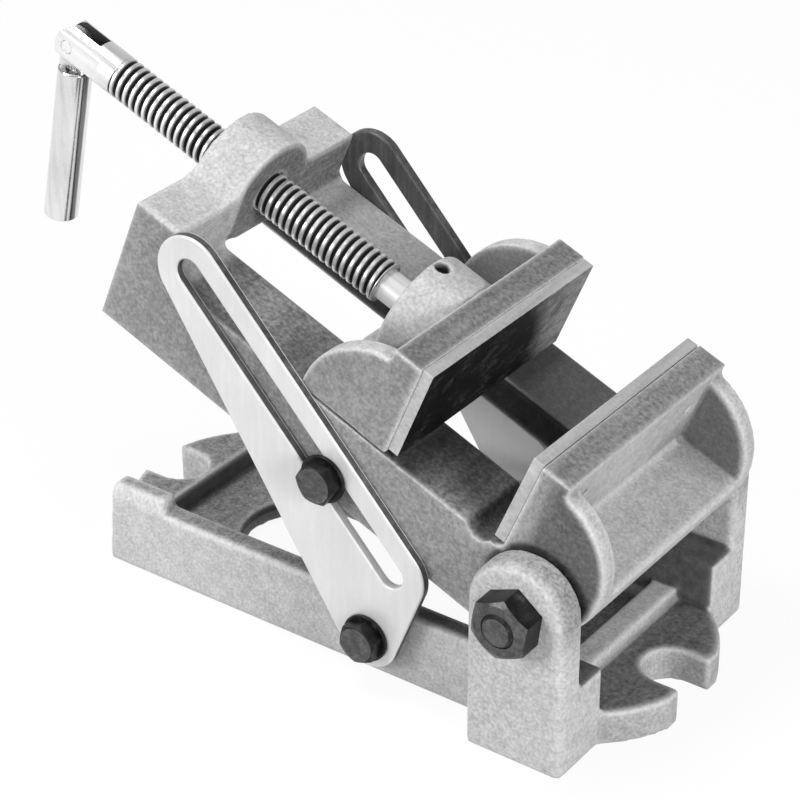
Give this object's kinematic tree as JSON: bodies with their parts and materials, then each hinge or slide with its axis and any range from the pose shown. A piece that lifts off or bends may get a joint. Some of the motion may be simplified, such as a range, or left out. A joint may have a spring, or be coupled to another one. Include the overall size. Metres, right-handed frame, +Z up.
{
  "type": "angle drill press vise",
  "caption": "Screw vise with a folding handle, tilting on a slotted bolt-down base between two ears and held at its angle by slotted side links.",
  "frame": {"origin": "on the underside of the base, in its mid-plane, straight below the tilt axis", "axes": "+X along the base towards the tilt axis end, +Y to the far side along the tilt axis, +Z up from the table"},
  "size_m": [0.29, 0.145, 0.1906],
  "materials": {
    "base_iron": "sand-cast, thin light grey coat",
    "vise_iron": "sand-cast, running faces and jaw tops machined",
    "jaw_iron": "sand-cast, top machined",
    "jaw_plate_steel": "ground, darkened grip face",
    "bright_steel": "bright turned steel",
    "link_steel": "bright zinc-plated sheet",
    "black_steel": "black oxide"
  },
  "bodies": {
    "base": {"base_casting": "base_iron", "pivot_bolt": "black_steel", "pivot_nut": "black_steel", "link_pivot_bolts": "black_steel", "link_pivot_washers": "black_steel"},
    "vise": {"vise_casting": "vise_iron", "fixed_jaw_plate": "jaw_plate_steel", "fixed_jaw_screws": "black_steel"},
    "jaw": {"movable_jaw_casting": "jaw_iron", "movable_jaw_plate": "jaw_plate_steel", "movable_jaw_screws": "black_steel", "keeper_plate": "jaw_plate_steel", "keeper_screws": "black_steel", "retaining_screw": "black_steel"},
    "screw": {"lead_screw": "bright_steel", "handle_pin": "black_steel"},
    "handle": {"handle": "bright_steel"},
    "near_link": {"near_link": "link_steel"},
    "far_link": {"far_link": "link_steel"},
    "near_slot": {"near_slot_bolt": "black_steel", "near_slot_washer": "black_steel"},
    "far_slot": {"far_slot_bolt": "black_steel", "far_slot_washer": "black_steel"}
  },
  "joints": [
    {"name": "tilt", "type": "hinge", "parent": "base", "child": "vise", "pos_m": [0, 0, 0.0588], "axis": [0, 1, 0], "range_deg": [-22.6, 67.4]},
    {"name": "jaw_slide", "type": "slide", "parent": "vise", "child": "jaw", "axis": [0.9232, 0, -0.3843], "range_m": [-0.05794, 0.04207]},
    {"name": "screw_turn", "type": "hinge", "parent": "jaw", "child": "screw", "pos_m": [-0.08406, 0, 0.12098], "axis": [0.9232, 0, -0.3843], "range_deg": [-6571, 4771]},
    {"name": "handle_fold", "type": "hinge", "parent": "screw", "child": "handle", "pos_m": [-0.23408, 0, 0.18343], "axis": [0, 1, 0], "range_deg": [0, 202]},
    {"name": "near_link_turn", "type": "hinge", "parent": "base", "child": "near_link", "pos_m": [-0.0658, -0.0523, 0.0196], "axis": [0, 1, 0], "range_deg": [-16.86, 48.99]},
    {"name": "far_link_turn", "type": "hinge", "parent": "base", "child": "far_link", "pos_m": [-0.0658, 0.0523, 0.0196], "axis": [0, 1, 0], "range_deg": [-16.86, 48.99]},
    {"name": "near_bolt_slide", "type": "slide", "parent": "near_link", "child": "near_slot", "axis": [-0.6794, 0, 0.7338], "range_m": [-0.02506, 0.07376]},
    {"name": "far_bolt_slide", "type": "slide", "parent": "far_link", "child": "far_slot", "axis": [-0.6794, 0, 0.7338], "range_m": [-0.02506, 0.07376]}
  ],
  "couplings": [
    {"joint": "screw_turn", "follows": "jaw_slide", "rad_per_m": 1979},
    {"joint": "near_link_turn", "follows": "tilt", "ratio": 0.72394},
    {"joint": "near_bolt_slide", "follows": "tilt", "m_per_rad": 0.062275},
    {"joint": "far_link_turn", "follows": "tilt", "ratio": 0.72394},
    {"joint": "far_bolt_slide", "follows": "tilt", "m_per_rad": 0.062275}
  ]
}
